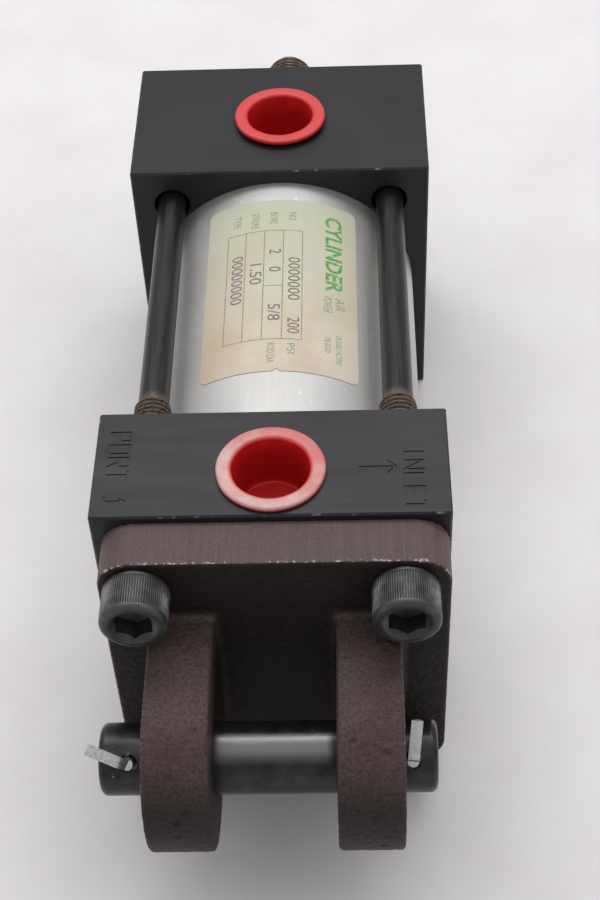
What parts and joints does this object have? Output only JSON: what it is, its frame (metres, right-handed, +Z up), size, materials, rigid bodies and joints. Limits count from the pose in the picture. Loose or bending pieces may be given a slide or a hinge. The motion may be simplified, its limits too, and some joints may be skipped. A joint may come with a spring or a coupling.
{
  "type": "pneumatic cylinder",
  "caption": "Square-head tie-rod air cylinder with round barrel, male threaded rod end, two plugged top ports, and a detachable cap clevis with its pin.",
  "frame": {"origin": "where the clevis pin's axis crosses the cylinder's axis", "axes": "+Y along the cylinder towards the rod end, +Z up through the ports, +X across, along the clevis pin"},
  "size_m": [0.0639, 0.2231, 0.0654],
  "materials": {
    "block_anodised": "black anodised, fine machining lines, satin",
    "barrel_aluminium": "clear anodised tube, satin",
    "label_film": "printed film, aged and slightly yellow",
    "gasket_fibre": "flat sealing ring",
    "bushing_bronze": "turned bronze",
    "seal_rubber": "moulded nitrile",
    "retainer_steel": "turned steel, black oxide",
    "clevis_iron": "sand cast, dark brown oxide, machined plate edges",
    "pin_black_oxide": "ground pin, black oxide",
    "cotter_zinc": "bright zinc",
    "plug_red": "moulded polyethylene, semi gloss",
    "plug_red_worn": "moulded polyethylene, flange bleached by wear",
    "piston_aluminium": "turned",
    "wear_band_polymer": "filled polymer strip",
    "nut_steel": "black oxide",
    "tie_rod_steel": "drawn steel, rolled threads lightly rusted",
    "rod_chrome": "hard chrome plated",
    "screw_black_oxide": "black oxide, knurled"
  },
  "bodies": {
    "cylinder_body": {"cap_end_block": "block_anodised", "rod_end_block": "block_anodised", "barrel_tube": "barrel_aluminium", "barrel_label": "label_film", "barrel_gasket_cap": "gasket_fibre", "barrel_gasket_rod": "gasket_fibre", "rod_bushing": "bushing_bronze", "rod_seal": "seal_rubber", "rod_wiper": "seal_rubber", "bushing_o_ring": "seal_rubber", "bushing_retainer": "retainer_steel", "clevis_bracket": "clevis_iron", "tie_rod_upper_left": "tie_rod_steel", "tie_rod_upper_right": "tie_rod_steel", "tie_rod_lower_left": "tie_rod_steel", "tie_rod_lower_right": "tie_rod_steel", "tie_rod_nut_upper_left": "nut_steel", "tie_rod_nut_upper_right": "nut_steel", "tie_rod_nut_lower_left": "nut_steel", "tie_rod_nut_lower_right": "nut_steel", "clevis_screw_upper_left": "screw_black_oxide", "clevis_screw_upper_right": "screw_black_oxide", "clevis_screw_lower_left": "screw_black_oxide", "clevis_screw_lower_right": "screw_black_oxide", "retainer_screw_top": "screw_black_oxide", "retainer_screw_right": "screw_black_oxide", "retainer_screw_bottom": "screw_black_oxide", "retainer_screw_left": "screw_black_oxide"},
    "piston_seals": {"piston_cup_rear": "seal_rubber", "piston_cup_front": "seal_rubber", "piston_wear_band": "wear_band_polymer"},
    "rod_and_piston": {"piston": "piston_aluminium", "piston_rod": "rod_chrome", "piston_lock_nut": "nut_steel", "piston_o_ring": "seal_rubber"},
    "clevis_pin": {"clevis_pin": "pin_black_oxide", "cotter_pin_left": "cotter_zinc", "cotter_pin_right": "cotter_zinc"},
    "port_plug_cap": {"port_plug_cap": "plug_red_worn"},
    "port_plug_rod": {"port_plug_rod": "plug_red"}
  },
  "joints": [
    {"name": "rod_slide", "type": "slide", "parent": "cylinder_body", "child": "piston_seals", "axis": [0, 1, 0], "range_m": [0, 0.0381]},
    {"name": "rod_turn", "type": "hinge", "parent": "piston_seals", "child": "rod_and_piston", "pos_m": [0, 0.0702, 0], "axis": [0, 1, 0], "continuous": true},
    {"name": "clevis_pin_turn", "type": "hinge", "parent": "cylinder_body", "child": "clevis_pin", "pos_m": [0, 0, 0], "axis": [1, 0, 0], "continuous": true},
    {"name": "port_plug_cap_pull", "type": "slide", "parent": "cylinder_body", "child": "port_plug_cap", "axis": [0, 0, 1], "range_m": [0, 0.02]},
    {"name": "port_plug_rod_pull", "type": "slide", "parent": "cylinder_body", "child": "port_plug_rod", "axis": [0, 0, 1], "range_m": [0, 0.02]}
  ]
}
